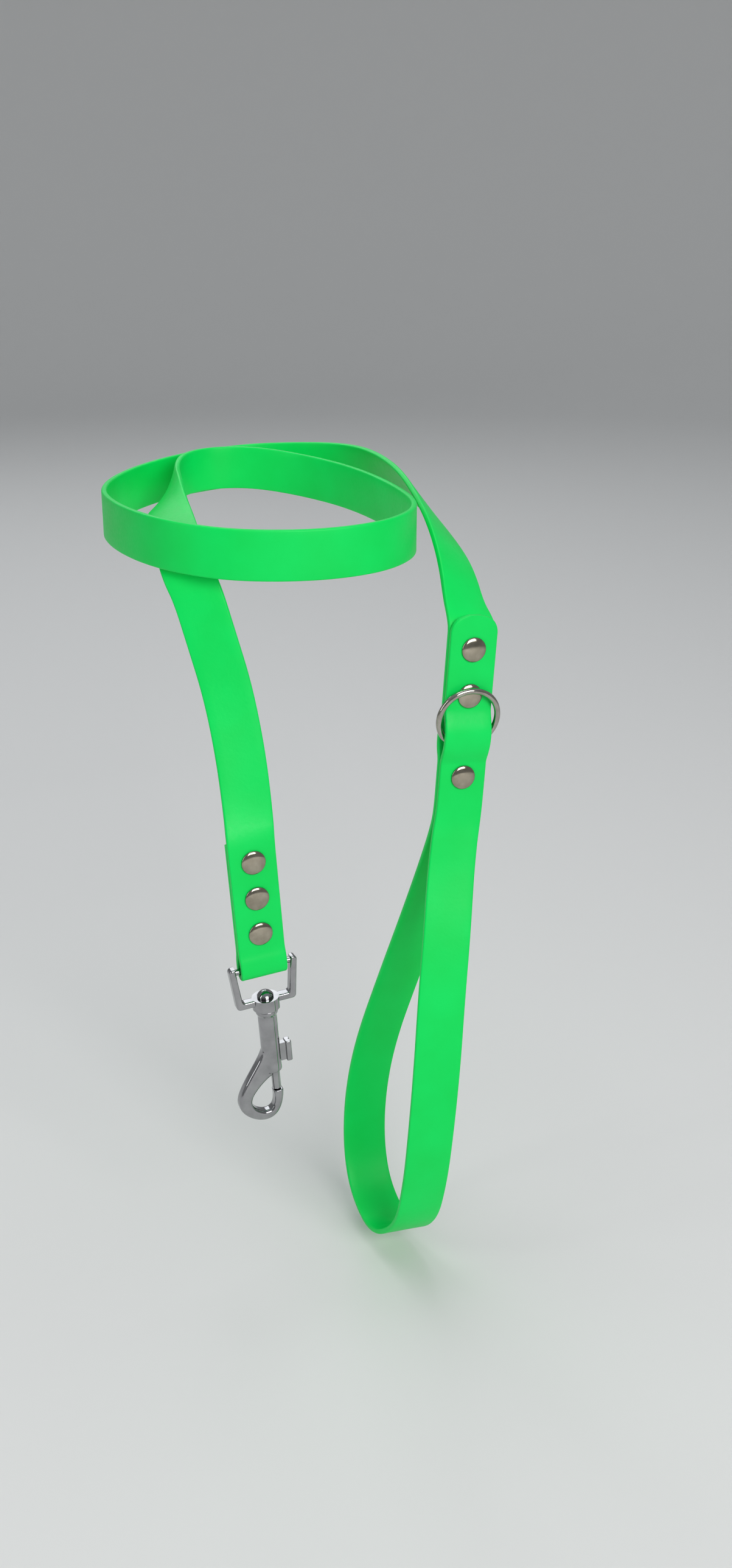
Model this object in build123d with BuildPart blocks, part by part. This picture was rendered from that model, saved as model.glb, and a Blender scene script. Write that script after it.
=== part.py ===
from build123d import *

import os
from math import pi

# A lead rope made of one long flat coated strap. It hangs over a post: a swivel bolt snap is
# riveted on one end, one loose turn of strap stands on edge on top of the post, and the other
# end is folded back on itself and riveted as a hand loop, with a loose ring threaded in it.
# Millimetres. Z is up, the origin is on the post's top in the middle of the loose turn, and
# the strap's two ends hang down in front, on the -Y side.

os.makedirs("parts", exist_ok=True)

# ---- Driving dimensions ----
STRAP_WIDTH = 19.0
STRAP_THICK = 2.3
LAYER_GAP = 0.15  # between two riveted layers
TIP_CORNER = 7.0  # radius of the hand loop's rounded end

SNAP_RIVETS = (15.6, 30.9, 46.2)  # heights above the snap's crossbar
HAND_RIVETS = (0.0, 33.0, 51.3)  # heights above the lowest hand-loop rivet
CAP_RADIUS = 4.85
CAP_HEIGHT = 1.6
CAP_RIM = 0.8
CAP_CHAMFER = 0.2
CAP_ROUNDING = 0.5
POST_RADIUS = 1.5
POST_GRIP = 0.7  # how far a post reaches into its cap
BASE_RADIUS = 4.6
BASE_THICK = 0.8
BASE_ROUNDING = 0.4

RING_RADIUS = 11.9  # to the middle of the wire
RING_WIRE = 1.2
RING_TILT = 11
RING_CENTRE = (24.05, -2.8)  # height and depth in the hand loop's plane

CROSSBAR_RADIUS = 1.3
CROSSBAR_INSET = 1.2  # how far each end stops short of the eye's outside
EYE_TOP, EYE_BOTTOM = 2.0, -16.5
EYE_TOP_HALF, EYE_BOTTOM_HALF = 14.2, 12.3
EYE_BAR = 2.5
EYE_FLOOR = -13.7
EYE_DEPTH = 4.0
EYE_CORNER = 1.6
EYE_WINDOW_CORNER = 1.2
EYE_ROUNDING = 0.7
BOSS_RADIUS = 5.5
BOSS_TOP, BOSS_BOTTOM = -13.7, -18.6

PIN_RADIUS = 2.1
PIN_CLEARANCE = 0.05
PIN_HEAD_RADIUS = 3.3
PIN_HEAD_RIM = 0.8
PIN_HEAD_BOTTOM, PIN_HEAD_TOP = -13.6, -10.8
PIN_END = -22.5

FLANGE_RADIUS = 4.5
CASTING_CHAMFER = 0.4
FLANGE_TOP, FLANGE_BOTTOM = -18.9, -20.6
BARREL_RADIUS = 3.9
BARREL_TOP, BARREL_BOTTOM = -21.6, -47.5
HOOK_DEPTH = 5.0
HOOK_ROUNDING = 1.4

BOLT_X = 1.0
BOLT_RADIUS = 1.8
BOLT_CLEARANCE = 0.05
BOLT_ROUNDING = 0.5
BOLT_TOP, BOLT_BOTTOM = -36.0, -56.6
BORE_TOP = -24.0
BOLT_TRAVEL = 8.5

KNOB_TOP, KNOB_BOTTOM = -36.0, -44.0
KNOB_NECK_THICK = 2.4
KNOB_NECK_END = 6.0
KNOB_PAD_END = 8.4
KNOB_PAD_THICK = 4.4
KNOB_PAD_MARGIN = 0.5  # how far the pad stands past the neck at each end
KNOB_PAD_CORNER = 0.7
KNOB_PAD_ROUNDING = 0.4
KNOB_GROOVE_RADIUS = 0.8  # between the pad's two ridges
KNOB_SEAT = 0.9  # how deep the neck sits in the bolt
SLOT_CLEARANCE = 0.1

SPRING_WIRE = 0.25
SPRING_RADIUS = 1.35
SPRING_TURNS = 8
SPRING_END_GAP = 0.05

# ---- Derived dimensions ----
LAYER = (STRAP_THICK + LAYER_GAP) / 2  # middle of each riveted layer from the pair's middle
STACK = LAYER + STRAP_THICK / 2  # outer face of a riveted pair from its middle


def hanging_plane(origin, heading, tilt):
    """Plane of a hanging strap end: X across the strap, Y away behind it, Z up along it."""
    across = Vector(1, 0, 0).rotate(Axis.Y, -tilt).rotate(Axis.Z, heading)
    up = Vector(0, 0, 1).rotate(Axis.Y, -tilt).rotate(Axis.Z, heading)
    return Plane(origin, x_dir=across, z_dir=up)


SNAP = hanging_plane((0, -97, -152), 22, 4)  # origin: middle of the snap's crossbar
HAND = hanging_plane((78, -75.5, -79.5), 18, -3.6)  # origin: lowest hand-loop rivet


def spot(home, height, depth=0.0, across=0.0):
    """Point in the row frame, from a height, depth and sideways place in a hanging plane."""
    return home.origin + home.z_dir * height + home.y_dir * depth + home.x_dir * across


def facing(home, height=0.0, depth=0.0, across=0.0):
    """Plane seen from the strap's front: X across the strap, Y up along it, Z to the front."""
    return Plane(spot(home, height, depth, across), x_dir=home.x_dir, z_dir=-home.y_dir)


def level(home, height, across=0.0):
    """Plane square across a hanging plane at one height, with its normal pointing up."""
    return Plane(spot(home, height, 0, across), x_dir=home.x_dir, z_dir=home.z_dir)


# ---- The strap's route ----
# Each list runs along the strap. FOLD, POCKET and FRONT hold (height, depth) in the hanging
# planes: the fold round the snap's crossbar, and the two riveted layers that part to let the
# ring through. LEAD and HAND_LOOP hold a point and the direction across the strap there.
FOLD = [
    (54, LAYER), (39, LAYER), (25, LAYER), (16.5, LAYER), (11.5, LAYER), (7.5, LAYER),
    (3.5, 2.6), (-1.16, 2.8), (-2.8, 1.16), (-2.8, -1.16), (-1.16, -2.8), (3.5, -2.6),
    (7.5, -LAYER), (11.5, -LAYER), (16.5, -LAYER), (24, -LAYER), (38, -LAYER), (54, -LAYER),
]
LEAD = [
    ((-4, -95, -87.5), (0.95, 0.29, 0.10)),
    ((-6.5, -91, -65.5), (0.97, 0.19, 0.14)),
    ((-11, -86, -42), (0.98, 0.09, 0.19)),
    ((-17, -83, -21.5), (0.97, 0.02, 0.24)),
    ((-21.5, -81, -6), (0.96, 0, 0.29)),
    ((-26, -77, 2.6), (0.97, 0, 0.26)),
    ((-29.5, -63, 7.9), (0.99, 0, 0.14)),
    ((-34.5, -35, 7.5), (1, 0, 0.07)),
    ((-39, -11, 8), (0.98, 0, 0.21)),
    ((-43, 8, 9.5), (0.87, 0.05, 0.5)),
    ((-44.5, 25, 11.5), (0.63, 0.1, 0.77)),
    ((-44, 43, 13), (0.21, 0.05, 0.98)),
    ((-41, 64, 14), (0.03, 0, 1)),
    ((-29.5, 76, 14.5), (0, 0, 1)),
    ((-10, 77, 14.5), (0, 0, 1)),
    ((13, 67, 12.5), (0, 0, 1)),
    ((35.5, 41, 11.5), (0, 0, 1)),
    ((53, 0, 11), (0, 0, 1)),
    ((62, -44, 11.5), (0, 0, 1)),
    ((52, -73, 11.5), (0, 0, 1)),
    ((32, -85, 10.5), (0, 0, 1)),
    ((8.5, -90, 10.5), (0, 0, 1)),
    ((-14.5, -90, 11.5), (0, 0, 1)),
    ((-37.5, -78, 13), (0, 0, 1)),
    ((-57.5, -43, 12), (0, 0, 1)),
    ((-69, 0, 10), (0, 0, 1)),
    ((-65.5, 43, 9.5), (0, 0, 1)),
    ((-46.5, 77, 11), (0, 0, 1)),
    ((-16.5, 91, 13.5), (0, 0, 1)),
    ((10.5, 90.5, 14.5), (-0.04, -0.04, 1)),
    ((31.5, 78.5, 16), (-0.13, -0.1, 0.99)),
    ((46, 57, 17), (-0.3, -0.13, 0.95)),
    ((60, 16.5, 16.5), (-0.56, -0.05, 0.83)),
    ((68.5, -18.5, 10), (-0.63, -0.19, 0.75)),
    ((73.5, -38.5, 3.5), (-0.73, -0.23, 0.64)),
    ((76.5, -52, -3.5), (-0.77, -0.45, 0.46)),
    ((78.5, -63.5, -12.5), (-0.78, -0.59, 0.19)),
    ((80.5, -70.5, -17.5), (-0.91, -0.39, 0.13)),
]
POCKET = [
    (59, LAYER), (54, LAYER), (46, LAYER), (38, LAYER), (30.5, LAYER), (25.5, LAYER), (20, 3),
    (15, 3.5), (10.8, 3.2), (6.8, LAYER), (4, LAYER), (0, LAYER), (-5.5, LAYER), (-11.5, LAYER),
]
HAND_LOOP = [
    ((76.2, -73, -99.5), (-0.95, -0.31, 0.05)),
    ((72.7, -67.5, -116), (-0.95, -0.31, 0.05)),
    ((65.2, -59, -145), (-0.95, -0.31, 0.02)),
    ((55, -51, -180.5), (-0.95, -0.31, 0)),
    ((45, -46, -215.5), (-0.95, -0.31, 0)),
    ((40.5, -46, -243), (-0.95, -0.31, 0)),
    ((40, -50, -267.5), (-0.95, -0.30, 0)),
    ((43.5, -60, -284), (-0.95, -0.30, 0)),
    ((52, -75, -293), (-0.96, -0.29, 0)),
    ((62, -91, -279), (-0.96, -0.27, 0)),
    ((65.5, -100, -252), (-0.97, -0.24, 0)),
    ((67.5, -104, -224), (-0.98, -0.2, 0)),
    ((69.5, -104, -193), (-0.99, -0.16, 0)),
    ((71, -99, -165.5), (-0.99, -0.16, 0.02)),
    ((73, -92, -140.5), (-0.98, -0.17, 0.03)),
    ((74.4, -84, -119), (-0.98, -0.21, 0.05)),
    ((75.8, -80, -105), (-0.96, -0.26, 0.05)),
    ((77, -77.8, -97.5), (-0.95, -0.3, 0.05)),
]
FRONT = [
    (-11.5, -LAYER), (-5.5, -LAYER), (0, -LAYER), (4, -LAYER), (6.5, -LAYER), (11.5, -3.5),
    (16, -4.3), (20.5, -3.9), (26.5, -LAYER), (30.5, -LAYER), (37, -LAYER), (45, -LAYER),
    (54, -LAYER), (64.5, -LAYER),
]


def route():
    """Control points of the strap's middle line, and the directions across the strap."""
    points = [spot(SNAP, height, depth) for height, depth in FOLD]
    across = [SNAP.x_dir] * len(FOLD)
    points += [Vector(*point) for point, edge in LEAD]
    across += [Vector(*edge).normalized() for point, edge in LEAD]
    points += [spot(HAND, height, depth) for height, depth in POCKET]
    across += [-HAND.x_dir] * len(POCKET)
    points += [Vector(*point) for point, edge in HAND_LOOP]
    across += [Vector(*edge).normalized() for point, edge in HAND_LOOP]
    points += [spot(HAND, height, depth) for height, depth in FRONT]
    across += [-HAND.x_dir] * len(FRONT)
    return points, across


def smooth(values):
    """Stations on the quadratic curve of a list of control values, two to each control."""
    joins = [(a + b) * 0.5 for a, b in zip(values[1:-2], values[2:-1])]
    knots = [values[0]] + joins + [values[-1]]
    stations = [knots[0]]
    for start, control, end in zip(knots, values[1:-1], knots[1:]):
        stations.append(start * 0.25 + control * 0.5 + end * 0.25)
        stations.append(end)
    return stations


def section_planes(points, across):
    """Planes square across the strap, with X across its width."""
    places = smooth(points)
    widths = smooth(across)
    before = [places[0]] + places[:-1]
    after = places[1:] + [places[-1]]
    planes = []
    for place, width, last, following in zip(places, widths, before, after):
        along = (following - last).normalized()
        square = width - along * width.dot(along)
        planes.append(Plane(place, x_dir=square, z_dir=along))
    return planes


route_points, route_across = route()
strap_planes = section_planes(route_points, route_across)

# ---- Strap ----
with BuildPart() as strap:
    for plane in strap_planes:
        with BuildSketch(plane):
            Rectangle(STRAP_WIDTH, STRAP_THICK)
    loft(ruled=True)
    # rounded end of the hand loop's front layer
    with BuildSketch(facing(HAND, FRONT[-1][0] - TIP_CORNER, -LAYER)):
        with Locations((0, TIP_CORNER)):
            Rectangle(STRAP_WIDTH + 2, 2 * TIP_CORNER)
        RectangleRounded(STRAP_WIDTH, 2 * TIP_CORNER, TIP_CORNER - 0.01, mode=Mode.SUBTRACT)
    extrude(amount=STRAP_THICK / 2 + 0.07, both=True, mode=Mode.SUBTRACT)
    # rivet holes through both layers
    for home, heights in ((SNAP, SNAP_RIVETS), (HAND, HAND_RIVETS)):
        with BuildSketch(facing(home)):
            with Locations([(0, height) for height in heights]):
                Circle(POST_RADIUS)
        extrude(amount=2 * STRAP_THICK, both=True, mode=Mode.SUBTRACT)
strap.part.label = "strap"
export_step(strap.part, "parts/strap.step")

# ---- Rivets: a domed cap in front, and a post with a flat base behind ----
for group, home, heights in (("snap", SNAP, SNAP_RIVETS), ("hand", HAND, HAND_RIVETS)):
    for number, height in enumerate(heights, start=1):
        name = f"{group}_rivet_{number}"
        middle = spot(home, height)
        profile = Plane(middle, x_dir=home.x_dir, z_dir=-home.z_dir)
        rivet_axis = Axis(middle, -home.y_dir)

        with BuildPart() as rivet_cap:
            with BuildSketch(profile):
                with BuildLine():
                    Line((0, STACK), (CAP_RADIUS - CAP_CHAMFER, STACK))
                    Line((CAP_RADIUS - CAP_CHAMFER, STACK), (CAP_RADIUS, STACK + CAP_CHAMFER))
                    Line((CAP_RADIUS, STACK + CAP_CHAMFER), (CAP_RADIUS, STACK + CAP_RIM))
                    TangentArc(
                        (0, STACK + CAP_HEIGHT), (CAP_RADIUS, STACK + CAP_RIM), tangent=(1, 0)
                    )
                    Line((0, STACK + CAP_HEIGHT), (0, STACK))
                make_face()
            revolve(axis=rivet_axis)
            rims = rivet_cap.edges().filter_by(lambda edge: edge.is_closed).sort_by(rivet_axis)
            fillet(rims[-1], radius=CAP_ROUNDING)
            with BuildSketch(facing(home, height, -STACK)):
                Circle(POST_RADIUS)
            extrude(amount=POST_GRIP, mode=Mode.SUBTRACT)
        rivet_cap.part.label = f"{name}_cap"
        export_step(rivet_cap.part, f"parts/{name}_cap.step")

        with BuildPart() as rivet_post:
            with BuildSketch(facing(home, height, STACK + BASE_THICK)):
                Circle(BASE_RADIUS)
            extrude(amount=BASE_THICK)
            back_rim = rivet_post.edges().sort_by(Axis(middle, home.y_dir))[-1]
            fillet(back_rim, radius=BASE_ROUNDING)
            with BuildSketch(facing(home, height, STACK)):
                Circle(POST_RADIUS)
            extrude(amount=2 * STACK + POST_GRIP)
        rivet_post.part.label = f"{name}_post"
        export_step(rivet_post.part, f"parts/{name}_post.step")

# ---- Ring threaded between the hand loop's layers ----
ring_up = HAND.z_dir.rotate(Axis((0, 0, 0), HAND.x_dir), RING_TILT)
ring_middle = spot(HAND, *RING_CENTRE)
with BuildPart() as o_ring:
    with BuildSketch(Plane(ring_middle, x_dir=HAND.x_dir, z_dir=ring_up)):
        with Locations((RING_RADIUS, 0)):
            Circle(RING_WIRE)
    revolve(axis=Axis(ring_middle, HAND.x_dir.cross(ring_up)))
o_ring.part.label = "o_ring"
export_step(o_ring.part, "parts/o_ring.step")

# ---- Snap eye: the bail that the strap folds round, with the swivel's boss below ----
with BuildPart() as snap_eye:
    with BuildSketch(facing(SNAP)):
        with BuildSketch() as eye_outline:
            with BuildLine():
                Polyline(
                    (-EYE_TOP_HALF, EYE_TOP), (-EYE_BOTTOM_HALF, EYE_BOTTOM),
                    (EYE_BOTTOM_HALF, EYE_BOTTOM), (EYE_TOP_HALF, EYE_TOP), close=True,
                )
            make_face()
            fillet(eye_outline.vertices(), radius=EYE_CORNER)
        with BuildSketch(mode=Mode.SUBTRACT) as eye_window:
            with BuildLine():
                Polyline(
                    (EYE_BAR - EYE_TOP_HALF, EYE_TOP + 1), (EYE_BAR - EYE_BOTTOM_HALF, EYE_FLOOR),
                    (EYE_BOTTOM_HALF - EYE_BAR, EYE_FLOOR), (EYE_TOP_HALF - EYE_BAR, EYE_TOP + 1),
                    close=True,
                )
            make_face()
            fillet(eye_window.vertices().group_by(Axis.Y)[0], radius=EYE_WINDOW_CORNER)
    extrude(amount=EYE_DEPTH / 2, both=True)
    front_to_back = snap_eye.faces().sort_by(Axis(SNAP.origin, SNAP.y_dir))
    fillet(front_to_back[0].edges() + front_to_back[-1].edges(), radius=EYE_ROUNDING)
    bar_start = spot(SNAP, 0, 0, CROSSBAR_INSET - EYE_TOP_HALF)
    with BuildSketch(Plane(bar_start, x_dir=SNAP.y_dir, z_dir=SNAP.x_dir)):
        Circle(CROSSBAR_RADIUS)
    extrude(amount=2 * (EYE_TOP_HALF - CROSSBAR_INSET))
    with BuildSketch(level(SNAP, BOSS_BOTTOM)):
        Circle(BOSS_RADIUS)
    extrude(amount=BOSS_TOP - BOSS_BOTTOM)
    with BuildSketch(level(SNAP, BOSS_BOTTOM)):
        Circle(PIN_RADIUS + PIN_CLEARANCE)
    extrude(amount=BOSS_TOP - BOSS_BOTTOM, mode=Mode.SUBTRACT)
snap_eye.part.label = "snap_eye"
export_step(snap_eye.part, "parts/snap_eye.step")

# ---- Swivel pin: its domed head sits in the eye, its shank is fixed in the snap's body ----
with BuildPart() as swivel_pin:
    with BuildSketch(facing(SNAP)):
        with BuildLine():
            Line((0, PIN_END), (PIN_RADIUS, PIN_END))
            Line((PIN_RADIUS, PIN_END), (PIN_RADIUS, PIN_HEAD_BOTTOM))
            Line((PIN_RADIUS, PIN_HEAD_BOTTOM), (PIN_HEAD_RADIUS, PIN_HEAD_BOTTOM))
            Line((PIN_HEAD_RADIUS, PIN_HEAD_BOTTOM), (PIN_HEAD_RADIUS, PIN_HEAD_BOTTOM + PIN_HEAD_RIM))
            TangentArc(
                (0, PIN_HEAD_TOP), (PIN_HEAD_RADIUS, PIN_HEAD_BOTTOM + PIN_HEAD_RIM), tangent=(1, 0)
            )
            Line((0, PIN_HEAD_TOP), (0, PIN_END))
        make_face()
    revolve(axis=Axis(SNAP.origin, SNAP.z_dir))
swivel_pin.part.label = "swivel_pin"
export_step(swivel_pin.part, "parts/swivel_pin.step")

# ---- Snap body: flange, barrel and hook in one casting, bored for the bolt ----
with BuildPart() as snap_body:
    with BuildSketch(facing(SNAP)):
        with BuildLine():
            Spline((-3.9, -37.5), (-13.3, -52.6), (-15.7, -60.5), (-8.5, -68.5), (3.35, -56.8))
            Line((3.35, -56.8), (-0.9, -56.8))
            Spline((-0.9, -56.8), (-5.6, -64.9), (-10.2, -60.6), (-7.2, -54.2), (-0.9, -49.4))
            Polyline((-0.9, -49.4), (-0.9, -44.0), (1.5, -40.0), (-3.9, -37.5))
        make_face()
    extrude(amount=HOOK_DEPTH / 2, both=True)
    front_to_back = snap_body.faces().sort_by(Axis(SNAP.origin, SNAP.y_dir))
    hook_rims = front_to_back[0].edges() + front_to_back[-1].edges()
    fillet(hook_rims.filter_by(GeomType.BSPLINE), radius=HOOK_ROUNDING)
    with BuildSketch(facing(SNAP)):
        with BuildLine():
            Polyline(
                (0, FLANGE_TOP), (FLANGE_RADIUS - CASTING_CHAMFER, FLANGE_TOP),
                (FLANGE_RADIUS, FLANGE_TOP - CASTING_CHAMFER),
                (FLANGE_RADIUS, FLANGE_BOTTOM), (BARREL_RADIUS, BARREL_TOP),
                (BARREL_RADIUS, BARREL_BOTTOM + CASTING_CHAMFER),
                (BARREL_RADIUS - CASTING_CHAMFER, BARREL_BOTTOM),
                (0, BARREL_BOTTOM), close=True,
            )
        make_face()
    revolve(axis=Axis(SNAP.origin, SNAP.z_dir))
    # hole for the swivel pin
    with BuildSketch(level(SNAP, PIN_END)):
        Circle(PIN_RADIUS)
    extrude(amount=FLANGE_TOP - PIN_END, mode=Mode.SUBTRACT)
    # bore for the spring and the bolt, open towards the hook's tip
    with BuildSketch(level(SNAP, BOLT_BOTTOM, BOLT_X)):
        Circle(BOLT_RADIUS + BOLT_CLEARANCE)
    extrude(amount=BORE_TOP - BOLT_BOTTOM, mode=Mode.SUBTRACT)
    # slot for the knob's neck
    slot_top = KNOB_TOP + BOLT_TRAVEL + 2 * SLOT_CLEARANCE
    slot_bottom = KNOB_BOTTOM - 2 * SLOT_CLEARANCE
    with BuildSketch(level(SNAP, slot_bottom, BOLT_X + BARREL_RADIUS / 2)):
        Rectangle(BARREL_RADIUS, KNOB_NECK_THICK + 2 * SLOT_CLEARANCE)
    extrude(amount=slot_top - slot_bottom, mode=Mode.SUBTRACT)
snap_body.part.label = "snap_body"
export_step(snap_body.part, "parts/snap_body.step")

# ---- Gate bolt: slides in the barrel and closes on the hook's tip ----
neck_start = BOLT_X + BOLT_RADIUS - KNOB_SEAT
with BuildPart() as snap_bolt:
    with BuildSketch(level(SNAP, BOLT_BOTTOM, BOLT_X)):
        Circle(BOLT_RADIUS)
    extrude(amount=BOLT_TOP - BOLT_BOTTOM)
    lower_rim = snap_bolt.edges().sort_by(Axis(SNAP.origin, SNAP.z_dir))[0]
    fillet(lower_rim, radius=BOLT_ROUNDING)
    with BuildSketch(level(SNAP, KNOB_BOTTOM, neck_start + KNOB_SEAT)):
        Rectangle(2 * KNOB_SEAT, KNOB_NECK_THICK)
    extrude(amount=KNOB_TOP - KNOB_BOTTOM, mode=Mode.SUBTRACT)
snap_bolt.part.label = "snap_bolt"
export_step(snap_bolt.part, "parts/snap_bolt.step")

# ---- Thumb knob: a neck through the slot, and a pad outside ----
with BuildPart() as thumb_knob:
    with BuildSketch(level(SNAP, KNOB_BOTTOM, (neck_start + KNOB_NECK_END) / 2)):
        Rectangle(KNOB_NECK_END - neck_start, KNOB_NECK_THICK)
    extrude(amount=KNOB_TOP - KNOB_BOTTOM)
    pad_bottom = KNOB_BOTTOM - KNOB_PAD_MARGIN
    pad_height = KNOB_TOP - KNOB_BOTTOM + 2 * KNOB_PAD_MARGIN
    with BuildSketch(level(SNAP, pad_bottom, (KNOB_NECK_END + KNOB_PAD_END) / 2)):
        RectangleRounded(KNOB_PAD_END - KNOB_NECK_END, KNOB_PAD_THICK, KNOB_PAD_CORNER)
    extrude(amount=pad_height)
    pad_ends = thumb_knob.faces().sort_by(Axis(SNAP.origin, SNAP.z_dir))
    fillet(pad_ends[0].edges() + pad_ends[-1].edges(), radius=KNOB_PAD_ROUNDING)
    with BuildSketch(level(SNAP, pad_bottom, KNOB_PAD_END)):
        Circle(KNOB_GROOVE_RADIUS)
    extrude(amount=pad_height, mode=Mode.SUBTRACT)
thumb_knob.part.label = "thumb_knob"
export_step(thumb_knob.part, "parts/thumb_knob.step")

# ---- Spring behind the bolt ----
spring_bottom = BOLT_TOP + SPRING_WIRE + SPRING_END_GAP
spring_height = BORE_TOP - BOLT_TOP - 2 * (SPRING_WIRE + SPRING_END_GAP)
with BuildPart() as snap_spring:
    with BuildLine() as coil:
        Helix(
            pitch=spring_height / SPRING_TURNS, height=spring_height, radius=SPRING_RADIUS,
            center=spot(SNAP, spring_bottom, 0, BOLT_X), direction=SNAP.z_dir,
        )
    with BuildSketch(Plane(coil.line @ 0, z_dir=coil.line % 0)):
        Circle(SPRING_WIRE)
    sweep()
snap_spring.part.label = "snap_spring"
export_step(snap_spring.part, "parts/snap_spring.step")

# ---- Length, volume and bend radii of the strap ----
stations = [plane.origin for plane in strap_planes]
spans = [(b - a).length for a, b in zip(stations, stations[1:])]
length = sum(spans)
print(f"strap length {length:.0f} mm over {len(route_points)} points")
swept = length * STRAP_WIDTH * STRAP_THICK
print(f"volume {strap.part.volume:.0f} mm3, section times length {swept:.0f} mm3")
radii = []
for last, place, following in zip(strap_planes, strap_planes[1:], strap_planes[2:]):
    turn = last.z_dir.get_angle(following.z_dir) * pi / 180
    arc = (following.origin - last.origin).length
    radii.append(arc / max(turn, 1e-6))
print("smallest bend radii", sorted(round(radius, 1) for radius in radii)[:24])
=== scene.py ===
from math import cos, pi, radians, sin, sqrt

import bmesh
import bpy
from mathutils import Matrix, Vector


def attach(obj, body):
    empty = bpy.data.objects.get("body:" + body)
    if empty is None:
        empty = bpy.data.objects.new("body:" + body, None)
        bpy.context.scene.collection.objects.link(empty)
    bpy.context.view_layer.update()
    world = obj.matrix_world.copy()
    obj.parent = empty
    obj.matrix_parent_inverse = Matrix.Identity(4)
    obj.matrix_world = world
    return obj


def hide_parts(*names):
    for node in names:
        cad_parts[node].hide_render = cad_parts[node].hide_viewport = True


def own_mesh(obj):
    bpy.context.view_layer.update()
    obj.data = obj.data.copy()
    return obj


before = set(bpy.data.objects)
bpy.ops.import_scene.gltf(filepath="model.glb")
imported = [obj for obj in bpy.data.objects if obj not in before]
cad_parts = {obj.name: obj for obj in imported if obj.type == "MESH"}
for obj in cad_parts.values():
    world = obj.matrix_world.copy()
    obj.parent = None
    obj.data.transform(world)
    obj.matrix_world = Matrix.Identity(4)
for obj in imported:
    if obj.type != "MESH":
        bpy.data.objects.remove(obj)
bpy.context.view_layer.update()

# A lead rope: one long flat coated strap with a swivel bolt snap riveted on one end, a loose
# turn in the middle, and a riveted hand loop with a ring on the other end. Metres, row frame.

scene = bpy.context.scene
scene.view_settings.view_transform = "Standard"

# ---- Camera ----
camera = bpy.data.objects.new("camera", bpy.data.cameras.new("camera"))
camera.location = (0.041, -0.655, 0.138)
camera.rotation_euler = (radians(69.1), 0, 0)
camera.data.sensor_width = 36
camera.data.lens = 36.33
camera.data.clip_start = 0.01
scene.collection.objects.link(camera)
scene.camera = camera

# ---- Dimensions ----
STRAP_WIDTH = 0.019
STRAP_THICK = 0.0023
LAYER = 0.001225  # middle of each riveted layer from the pair's middle
EDGE_ROUND = 0.0007
TIP_CORNER = 0.007
ROUTE_STEPS = 16  # mesh steps for each of the route's points
MERGE = 1e-7  # vertices nearer than this are one
FACE_STEPS, CORNER_STEPS = 6, 4  # across the strap's face, and round each of its edges


class Hanging:
    """Plane of a hanging strap end: X across the strap, Y away behind it, Z up along it."""

    def __init__(self, origin, heading, tilt):
        turn, lean = radians(heading), radians(tilt)
        self.origin = Vector(origin)
        self.x = Vector((cos(turn) * cos(lean), sin(turn) * cos(lean), sin(lean)))
        self.y = Vector((-sin(turn), cos(turn), 0))
        self.z = self.x.cross(self.y)

    def spot(self, height, depth=0.0, across=0.0):
        return self.origin + self.z * height + self.y * depth + self.x * across


SNAP = Hanging((0, -0.097, -0.152), 22, 4)
HAND = Hanging((0.078, -0.0755, -0.0795), 18, -3.6)

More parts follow.
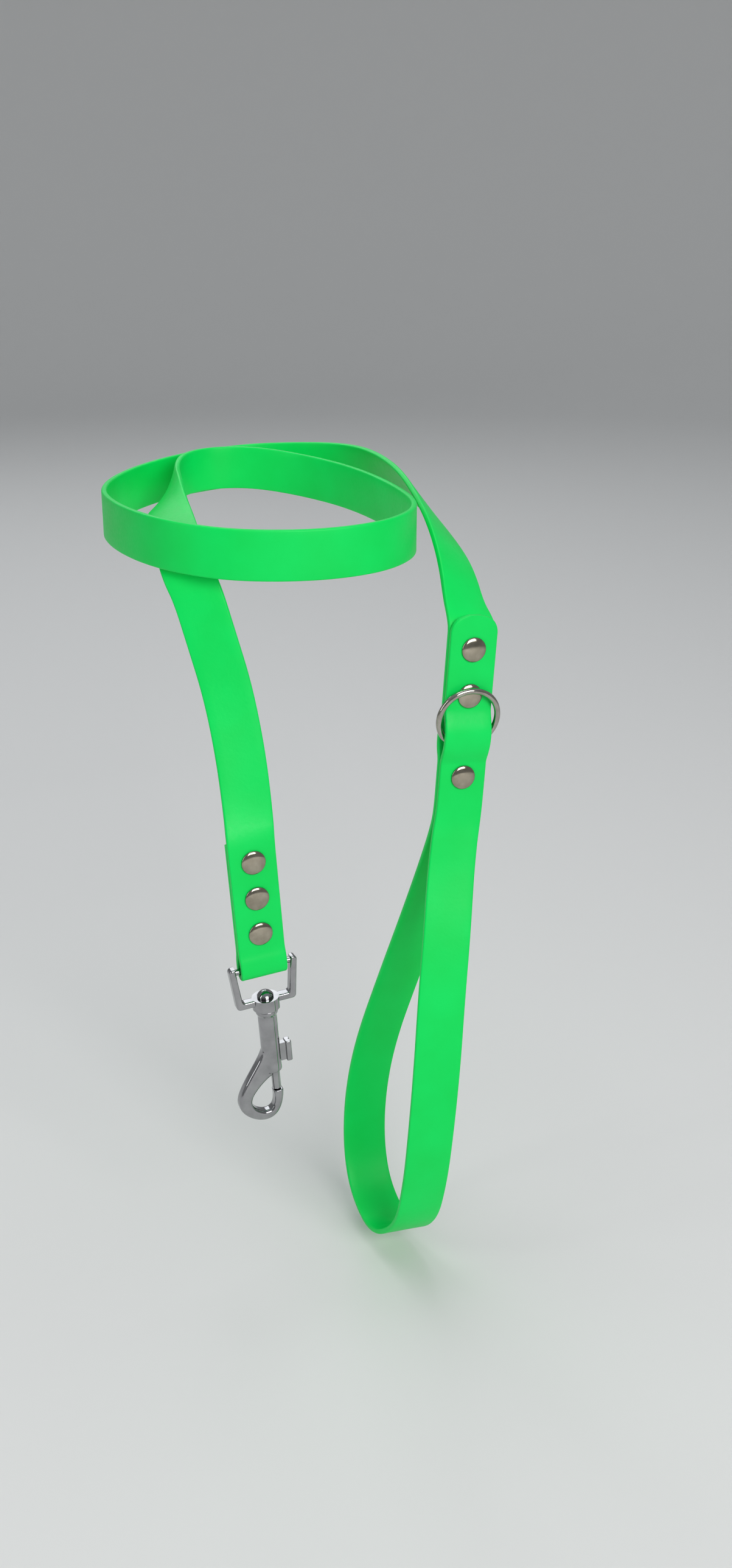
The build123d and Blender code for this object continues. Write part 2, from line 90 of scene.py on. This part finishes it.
# ---- The strap's route, point by point from the snap to the hand loop's tip ----
# FOLD, POCKET and FRONT hold (height, depth) in the hanging planes. LEAD and HAND_LOOP hold
# a point and the direction across the strap there.
FOLD = [
    (0.054, LAYER), (0.039, LAYER), (0.025, LAYER), (0.0165, LAYER), (0.0115, LAYER),
    (0.0075, LAYER), (0.0035, 0.0026), (-0.00116, 0.0028), (-0.0028, 0.00116),
    (-0.0028, -0.00116), (-0.00116, -0.0028), (0.0035, -0.0026), (0.0075, -LAYER),
    (0.0115, -LAYER), (0.0165, -LAYER), (0.024, -LAYER), (0.038, -LAYER), (0.054, -LAYER),
]
LEAD = [
    ((-0.004, -0.095, -0.0875), (0.95, 0.29, 0.1)),
    ((-0.0065, -0.091, -0.0655), (0.97, 0.19, 0.14)),
    ((-0.011, -0.086, -0.042), (0.98, 0.09, 0.19)),
    ((-0.017, -0.083, -0.0215), (0.97, 0.02, 0.24)),
    ((-0.0215, -0.081, -0.006), (0.96, 0, 0.29)),
    ((-0.026, -0.077, 0.0026), (0.97, 0, 0.26)),
    ((-0.0295, -0.063, 0.0079), (0.99, 0, 0.14)),
    ((-0.0345, -0.035, 0.0075), (1, 0, 0.07)),
    ((-0.039, -0.011, 0.008), (0.98, 0, 0.21)),
    ((-0.043, 0.008, 0.0095), (0.87, 0.05, 0.5)),
    ((-0.0445, 0.025, 0.0115), (0.63, 0.1, 0.77)),
    ((-0.044, 0.043, 0.013), (0.21, 0.05, 0.98)),
    ((-0.041, 0.064, 0.014), (0.03, 0, 1)),
    ((-0.0295, 0.076, 0.0145), (0, 0, 1)),
    ((-0.01, 0.077, 0.0145), (0, 0, 1)),
    ((0.013, 0.067, 0.0125), (0, 0, 1)),
    ((0.0355, 0.041, 0.0115), (0, 0, 1)),
    ((0.053, 0, 0.011), (0, 0, 1)),
    ((0.062, -0.044, 0.0115), (0, 0, 1)),
    ((0.052, -0.073, 0.0115), (0, 0, 1)),
    ((0.032, -0.085, 0.0105), (0, 0, 1)),
    ((0.0085, -0.09, 0.0105), (0, 0, 1)),
    ((-0.0145, -0.09, 0.0115), (0, 0, 1)),
    ((-0.0375, -0.078, 0.013), (0, 0, 1)),
    ((-0.0575, -0.043, 0.012), (0, 0, 1)),
    ((-0.069, 0, 0.01), (0, 0, 1)),
    ((-0.0655, 0.043, 0.0095), (0, 0, 1)),
    ((-0.0465, 0.077, 0.011), (0, 0, 1)),
    ((-0.0165, 0.091, 0.0135), (0, 0, 1)),
    ((0.0105, 0.0905, 0.0145), (-0.04, -0.04, 1)),
    ((0.0315, 0.0785, 0.016), (-0.13, -0.1, 0.99)),
    ((0.046, 0.057, 0.017), (-0.3, -0.13, 0.95)),
    ((0.06, 0.0165, 0.0165), (-0.56, -0.05, 0.83)),
    ((0.0685, -0.0185, 0.01), (-0.63, -0.19, 0.75)),
    ((0.0735, -0.0385, 0.0035), (-0.73, -0.23, 0.64)),
    ((0.0765, -0.052, -0.0035), (-0.77, -0.45, 0.46)),
    ((0.0785, -0.0635, -0.0125), (-0.78, -0.59, 0.19)),
    ((0.0805, -0.0705, -0.0175), (-0.91, -0.39, 0.13)),
]
POCKET = [
    (0.059, LAYER), (0.054, LAYER), (0.046, LAYER), (0.038, LAYER), (0.0305, LAYER),
    (0.0255, LAYER), (0.02, 0.003), (0.015, 0.0035), (0.0108, 0.0032), (0.0068, LAYER),
    (0.004, LAYER), (0, LAYER), (-0.0055, LAYER), (-0.0115, LAYER),
]
HAND_LOOP = [
    ((0.0762, -0.073, -0.0995), (-0.95, -0.31, 0.05)),
    ((0.0727, -0.0675, -0.116), (-0.95, -0.31, 0.05)),
    ((0.0652, -0.059, -0.145), (-0.95, -0.31, 0.02)),
    ((0.055, -0.051, -0.1805), (-0.95, -0.31, 0)),
    ((0.045, -0.046, -0.2155), (-0.95, -0.31, 0)),
    ((0.0405, -0.046, -0.243), (-0.95, -0.31, 0)),
    ((0.04, -0.05, -0.2675), (-0.95, -0.3, 0)),
    ((0.0435, -0.06, -0.284), (-0.95, -0.3, 0)),
    ((0.052, -0.075, -0.293), (-0.96, -0.29, 0)),
    ((0.062, -0.091, -0.279), (-0.96, -0.27, 0)),
    ((0.0655, -0.1, -0.252), (-0.97, -0.24, 0)),
    ((0.0675, -0.104, -0.224), (-0.98, -0.2, 0)),
    ((0.0695, -0.104, -0.193), (-0.99, -0.16, 0)),
    ((0.071, -0.099, -0.1655), (-0.99, -0.16, 0.02)),
    ((0.073, -0.092, -0.1405), (-0.98, -0.17, 0.03)),
    ((0.0744, -0.084, -0.119), (-0.98, -0.21, 0.05)),
    ((0.0758, -0.08, -0.105), (-0.96, -0.26, 0.05)),
    ((0.077, -0.0778, -0.0975), (-0.95, -0.3, 0.05)),
]
FRONT = [
    (-0.0115, -LAYER), (-0.0055, -LAYER), (0, -LAYER), (0.004, -LAYER), (0.0065, -LAYER),
    (0.0115, -0.0035), (0.016, -0.0043), (0.0205, -0.0039), (0.0265, -LAYER), (0.0305, -LAYER),
    (0.037, -LAYER), (0.045, -LAYER), (0.054, -LAYER), (0.0645, -LAYER),
]


def route():
    """The route's control points, and points on the strap's edge beside each of them."""
    centres = [SNAP.spot(height, depth) for height, depth in FOLD]
    across = [SNAP.x] * len(FOLD)
    centres += [Vector(point) for point, edge in LEAD]
    across += [Vector(edge).normalized() for point, edge in LEAD]
    centres += [HAND.spot(height, depth) for height, depth in POCKET]
    across += [-HAND.x] * len(POCKET)
    centres += [Vector(point) for point, edge in HAND_LOOP]
    across += [Vector(edge).normalized() for point, edge in HAND_LOOP]
    centres += [HAND.spot(height, depth) for height, depth in FRONT]
    across += [-HAND.x] * len(FRONT)
    edges = [c + a * STRAP_WIDTH / 2 for c, a in zip(centres, across)]
    return centres, edges


def read_nurbs(name, controls):
    """Points read from the smooth NURBS curve of these control points."""
    curve = bpy.data.curves.new(name, "CURVE")
    curve.dimensions = "3D"
    curve.resolution_u = ROUTE_STEPS
    spline = curve.splines.new("NURBS")
    spline.points.add(len(controls) - 1)
    for point, place in zip(spline.points, controls):
        point.co = (*place, 1)
    spline.order_u = 3
    spline.use_endpoint_u = True
    holder = bpy.data.objects.new(name, curve)
    mesh = bpy.data.meshes.new_from_object(holder)
    points = [vertex.co.copy() for vertex in mesh.vertices]
    bpy.data.objects.remove(holder)
    bpy.data.meshes.remove(mesh)
    bpy.data.curves.remove(curve)
    return points


def add_mesh(name, vertices, faces, smooth_angle=40):
    """A new piece, smooth except where its faces meet at more than the angle."""
    mesh = bpy.data.meshes.new(name)
    mesh.from_pydata(vertices, [], faces)
    mesh.shade_smooth()
    mesh.set_sharp_from_angle(angle=radians(smooth_angle))
    piece = bpy.data.objects.new(name, mesh)
    scene.collection.objects.link(piece)
    return piece


def clean_mesh(piece, merge):
    """Merges vertices that lie on one another and turns every face outwards."""
    bm = bmesh.new()
    bm.from_mesh(piece.data)
    bmesh.ops.remove_doubles(bm, verts=bm.verts, dist=merge)
    bmesh.ops.recalc_face_normals(bm, faces=bm.faces)
    bm.to_mesh(piece.data)
    bm.free()


def tube_faces(rings, sides, open_ended=False):
    """Faces between rings of vertices, with a cap at each end unless it is open ended."""
    faces = []
    for ring in range(rings - 1):
        for side in range(sides):
            a, b = ring * sides + side, ring * sides + (side + 1) % sides
            faces.append((a, b, b + sides, a + sides))
    if not open_ended:
        faces.append(tuple(reversed(range(sides))))
        faces.append(tuple(range((rings - 1) * sides, rings * sides)))
    return faces


# ---- Strap ----
def strap_profile(half_width):
    """Section of the flat strap: two flat faces and rounded edges."""
    half_thick = STRAP_THICK / 2
    corner = min(EDGE_ROUND, half_width)
    flat = half_width - corner
    top = [(flat * (1 - 2 * step / FACE_STEPS), half_thick) for step in range(FACE_STEPS + 1)]
    corners = []
    for start, x, y in ((pi / 2, -flat, half_thick - corner), (pi, -flat, corner - half_thick)):
        for step in range(1, CORNER_STEPS):
            angle = start + step * pi / 2 / CORNER_STEPS
            corners.append((x + corner * cos(angle), y + corner * sin(angle)))
        if start < pi:
            corners.append((x - corner, y))
            corners.append((x - corner, -y))
    half = top + corners
    return half + [(-x, -y) for x, y in half]


def strap_mesh():
    centres, edges = route()
    middle = read_nurbs("strap_route", centres)
    side = read_nurbs("strap_edge", edges)
    total = sum((b - a).length for a, b in zip(middle, middle[1:]))
    vertices = []
    travelled = 0.0
    for index, (place, edge) in enumerate(zip(middle, side)):
        last = middle[max(index - 1, 0)]
        following = middle[min(index + 1, len(middle) - 1)]
        travelled += (place - last).length
        along = (following - last).normalized()
        width = edge - place
        width = (width - along * width.dot(along)).normalized()
        normal = along.cross(width)
        half_width = STRAP_WIDTH / 2
        to_tip = total - travelled
        if to_tip < TIP_CORNER:
            inset = TIP_CORNER - max(to_tip, 0)
            half_width += sqrt(max(TIP_CORNER ** 2 - inset ** 2, 0)) - TIP_CORNER
        for x, y in strap_profile(half_width):
            vertices.append(place + width * x + normal * y)
    sides = len(strap_profile(1))
    piece = add_mesh("strap_webbing", vertices, tube_faces(len(middle), sides))
    return piece, middle


strap, strap_path = strap_mesh()
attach(strap, "lead")
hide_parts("strap")


# ---- Materials ----
NOISE_LOW, NOISE_HIGH = 0.3, 0.7  # a noise texture's usual range


def new_material(name):
    """A material with its nodes, links and shader, and the object's own coordinates."""
    material = bpy.data.materials.new(name)
    material.use_nodes = True
    nodes, links = material.node_tree.nodes, material.node_tree.links
    shader = next(node for node in nodes if node.type == "BSDF_PRINCIPLED")
    place = nodes.new("ShaderNodeTexCoord").outputs["Object"]
    return material, nodes, links, shader, place


def noise(nodes, links, place, scale, detail, stretch=None):
    if stretch:
        mapping = nodes.new("ShaderNodeMapping")
        mapping.inputs["Scale"].default_value = stretch
        links.new(place, mapping.inputs["Vector"])
        place = mapping.outputs["Vector"]
    texture = nodes.new("ShaderNodeTexNoise")
    texture.inputs["Scale"].default_value = scale
    texture.inputs["Detail"].default_value = detail
    links.new(place, texture.inputs["Vector"])
    return texture.outputs["Fac"]


def spread(nodes, links, value, low, high):
    """Maps a texture's usual range of values to low and high."""
    node = nodes.new("ShaderNodeMapRange")
    node.inputs["From Min"].default_value = NOISE_LOW
    node.inputs["From Max"].default_value = NOISE_HIGH
    node.inputs["To Min"].default_value = low
    node.inputs["To Max"].default_value = high
    links.new(value, node.inputs["Value"])
    return node.outputs["Result"]


def ramp(nodes, links, value, low, high):
    """Maps a texture's usual range of values to two colours."""
    node = nodes.new("ShaderNodeValToRGB")
    node.color_ramp.elements[0].position = NOISE_LOW
    node.color_ramp.elements[0].color = (*low, 1)
    node.color_ramp.elements[1].position = NOISE_HIGH
    node.color_ramp.elements[1].color = (*high, 1)
    links.new(value, node.inputs["Fac"])
    return node.outputs["Color"]


def bump(nodes, links, height, distance, strength, normal=None):
    node = nodes.new("ShaderNodeBump")
    node.inputs["Distance"].default_value = distance
    node.inputs["Strength"].default_value = strength
    links.new(height, node.inputs["Height"])
    if normal is not None:
        links.new(normal, node.inputs["Normal"])
    return node.outputs["Normal"]


def coated_webbing():
    """Satin coating with a fine pebble and grain. Texture scales are per metre."""
    material, nodes, links, shader, place = new_material("green_coating")
    tone = ramp(
        nodes, links, noise(nodes, links, place, 45, 3),
        (0.0, 0.67, 0.09), (0.0, 0.73, 0.11),
    )
    links.new(tone, shader.inputs["Base Color"])
    sheen = spread(nodes, links, noise(nodes, links, place, 700, 3), 0.38, 0.46)
    links.new(sheen, shader.inputs["Roughness"])
    pebble = bump(nodes, links, noise(nodes, links, place, 900, 1), 0.00006, 0.5)
    grain = bump(nodes, links, noise(nodes, links, place, 4200, 2), 0.00002, 0.5, pebble)
    links.new(grain, shader.inputs["Normal"])
    shader.inputs["Specular IOR Level"].default_value = 0.22
    return material


def plated_metal(name, dark, light, rough, scale, ripple):
    """Plating with smudges, a slight waviness as deep as the ripple, and fine scratches."""
    material, nodes, links, shader, place = new_material(name)
    shader.inputs["Metallic"].default_value = 1.0
    tone = ramp(nodes, links, noise(nodes, links, place, scale, 4), dark, light)
    links.new(tone, shader.inputs["Base Color"])
    smudge = noise(nodes, links, place, scale * 2.5, 5)
    links.new(spread(nodes, links, smudge, rough[0], rough[1]), shader.inputs["Roughness"])
    wave = bump(nodes, links, noise(nodes, links, place, scale, 1), ripple, 0.6)
    scratch = noise(nodes, links, place, 2600, 3, stretch=(1, 1, 0.12))
    links.new(bump(nodes, links, scratch, 0.000004, 0.5, wave), shader.inputs["Normal"])
    return material


coating = coated_webbing()
chrome = plated_metal(
    "snap_chrome", (0.30, 0.30, 0.31), (0.40, 0.40, 0.41), (0.04, 0.09), 160, 0.00006,
)
nickel = plated_metal(
    "rivet_nickel", (0.29, 0.26, 0.20), (0.41, 0.375, 0.30), (0.08, 0.16), 260, 0.00003,
)
ring_plating = plated_metal(
    "ring_nickel", (0.33, 0.31, 0.27), (0.45, 0.43, 0.38), (0.05, 0.12), 300, 0.00002,
)
spring_steel = plated_metal(
    "spring_steel", (0.42, 0.42, 0.43), (0.56, 0.56, 0.57), (0.22, 0.34), 900, 0.00001,
)


def finish_node(name, material):
    """Gives a carried CAD node its material."""
    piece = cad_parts[name]
    if not piece.material_slots:
        piece.data.materials.append(material)
    for slot in piece.material_slots:
        slot.material = material


strap.data.materials.append(coating)

# ---- Rivets: a pressed cap with a rolled rim on each carried post ----
STACK = LAYER + STRAP_THICK / 2  # outer face of a riveted pair from its middle
SNAP_RIVETS = (0.0156, 0.0309, 0.0462)
HAND_RIVETS = (0.0, 0.033, 0.0513)
CAP_RADIUS, CAP_HEIGHT, CAP_RIM, CAP_CHAMFER = 0.00485, 0.0016, 0.0005, 0.0002
CAP_SIDES, CAP_STEPS = 64, 18


def cap_mesh(name, home, height):
    rings = [(CAP_RADIUS - CAP_CHAMFER, 0), (CAP_RADIUS, CAP_CHAMFER)]
    for step in range(CAP_STEPS):
        angle = step * pi / 2 / CAP_STEPS
        up = CAP_RIM + (CAP_HEIGHT - CAP_RIM) * sin(angle)
        rings.append((CAP_RADIUS * cos(angle), up))
    vertices = []
    for radius, up in rings:
        for side in range(CAP_SIDES):
            turn = 2 * pi * side / CAP_SIDES
            across, along = radius * cos(turn), radius * sin(turn)
            vertices.append(home.spot(height + along, -STACK - up, across))
    faces = tube_faces(len(rings), CAP_SIDES, open_ended=True)
    faces.append(tuple(range(CAP_SIDES)))
    vertices.append(home.spot(height, -STACK - CAP_HEIGHT))
    last = (len(rings) - 1) * CAP_SIDES
    for side in range(CAP_SIDES):
        faces.append((last + side, last + (side + 1) % CAP_SIDES, len(vertices) - 1))
    piece = add_mesh(name, vertices, faces, 50)
    clean_mesh(piece, MERGE)
    return piece


for group, home, heights in (("snap", SNAP, SNAP_RIVETS), ("hand", HAND, HAND_RIVETS)):
    for number, height in enumerate(heights, start=1):
        finish_node(f"{group}_rivet_{number}_post", nickel)
        cap = cap_mesh(f"{group}_rivet_{number}_dome", home, height)
        cap.data.materials.append(nickel)
        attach(cap, "lead")
        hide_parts(f"{group}_rivet_{number}_cap")

finish_node("o_ring", ring_plating)
for name in ("snap_eye", "swivel_pin", "snap_bolt", "thumb_knob"):
    finish_node(name, chrome)

# ---- Snap body with a casting's soft blends ----
CAST_VOXEL, CAST_SMOOTHING = 0.0002, 14


def cast_mesh(node, name):
    """The node's solid, remeshed so that the joins between its parts melt together."""
    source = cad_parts[node]
    mesh = source.data.copy()
    mesh.transform(source.matrix_world)
    mesh.materials.clear()
    piece = bpy.data.objects.new(name, mesh)
    scene.collection.objects.link(piece)
    clean_mesh(piece, MERGE)
    remesh = piece.modifiers.new("remesh", "REMESH")
    remesh.mode = "VOXEL"
    remesh.voxel_size = CAST_VOXEL
    smooth = piece.modifiers.new("smooth", "SMOOTH")
    smooth.factor = 0.5
    smooth.iterations = CAST_SMOOTHING
    graph = bpy.context.evaluated_depsgraph_get()
    cast = bpy.data.meshes.new_from_object(piece.evaluated_get(graph))
    piece.modifiers.clear()
    piece.data = cast
    bpy.data.meshes.remove(mesh)
    cast.shade_smooth()
    return piece


casting = cast_mesh("snap_body", "snap_casting")
casting.data.materials.append(chrome)
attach(casting, "hook")
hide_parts("snap_body")

# ---- Spring behind the bolt ----
SPRING_LOW, SPRING_HIGH = -0.0357, -0.0243
SPRING_RADIUS, SPRING_WIRE, SPRING_TURNS = 0.00135, 0.00025, 8
TURN_STEPS, WIRE_SIDES = 24, 8
BOLT_ACROSS = 0.001  # the bolt stands this far off the barrel's middle


def spring_mesh():
    steps = SPRING_TURNS * TURN_STEPS
    vertices = []
    for step in range(steps + 1):
        angle = 2 * pi * SPRING_TURNS * step / steps
        out = SNAP.x * cos(angle) - SNAP.y * sin(angle)
        height = SPRING_LOW + (SPRING_HIGH - SPRING_LOW) * step / steps
        middle = SNAP.spot(height, 0, BOLT_ACROSS) + out * SPRING_RADIUS
        for side in range(WIRE_SIDES):
            turn = 2 * pi * side / WIRE_SIDES
            vertices.append(middle + (out * cos(turn) + SNAP.z * sin(turn)) * SPRING_WIRE)
    return add_mesh("bolt_spring", vertices, tube_faces(steps + 1, WIRE_SIDES))


spring = spring_mesh()
spring.data.materials.append(spring_steel)
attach(spring, "hook")
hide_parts("snap_spring")
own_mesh(spring)

# ---- Floor and light ----
FLOOR_Z = -0.3
FLOOR_RADIUS, SWEEP_RADIUS, WALL_HEIGHT = 2.6, 1.4, 2.0
FLOOR_SIDES, SWEEP_STEPS = 96, 12


def studio_floor():
    """A pale round floor whose rim sweeps up into a backdrop."""
    rings = [(0.0, 0.0), (0.6, 0.0), (1.4, 0.0), (FLOOR_RADIUS, 0.0)]
    for step in range(1, SWEEP_STEPS + 1):
        angle = step * pi / 2 / SWEEP_STEPS
        out, up = SWEEP_RADIUS * sin(angle), SWEEP_RADIUS * (1 - cos(angle))
        rings.append((FLOOR_RADIUS + out, up))
    rings.append((FLOOR_RADIUS + SWEEP_RADIUS, SWEEP_RADIUS + WALL_HEIGHT))
    vertices = []
    for radius, height in rings:
        for side in range(FLOOR_SIDES):
            turn = 2 * pi * side / FLOOR_SIDES
            vertices.append((radius * cos(turn), radius * sin(turn), FLOOR_Z + height))
    faces = tube_faces(len(rings), FLOOR_SIDES, open_ended=True)
    piece = add_mesh("studio_floor", vertices, faces, 80)
    clean_mesh(piece, 10 * MERGE)
    return piece


floor = studio_floor()
floor_paint, nodes, links, shader, place = new_material("pale_floor")
shader.inputs["Base Color"].default_value = (0.74, 0.73, 0.715, 1)
shader.inputs["Roughness"].default_value = 0.75
floor.data.materials.append(floor_paint)


def softbox(name, place, target, size, power, tint=(1, 1, 1)):
    """A soft rectangular light at a place, aimed at the target."""
    light = bpy.data.lights.new(name, "AREA")
    light.shape = "RECTANGLE"
    light.size, light.size_y = size
    light.energy = power
    light.color = tint
    lamp = bpy.data.objects.new(name, light)
    lamp.location = place
    direction = Vector(target) - Vector(place)
    lamp.rotation_euler = direction.to_track_quat("-Z", "Y").to_euler()
    scene.collection.objects.link(lamp)


softbox("key", (0.7, -1.4, 0.7), (0, 0, -0.1), (1.0, 0.8), 18)
softbox("fill", (-1.3, -0.7, 0.5), (0, 0, -0.1), (0.3, 1.0), 3.5)
softbox("top", (-0.1, 0.15, 1.3), (0, 0, 0), (0.9, 0.6), 5, (0.94, 0.97, 1))
softbox("back", (-0.5, 1.6, 1.1), (0, 0, -0.1), (1.2, 0.8), 6, (0.94, 0.97, 1))

world = bpy.data.worlds.new("studio")
world.use_nodes = True
background = world.node_tree.nodes["Background"]
background.inputs["Color"].default_value = (0.88, 0.94, 1, 1)
background.inputs["Strength"].default_value = 0.42
scene.world = world
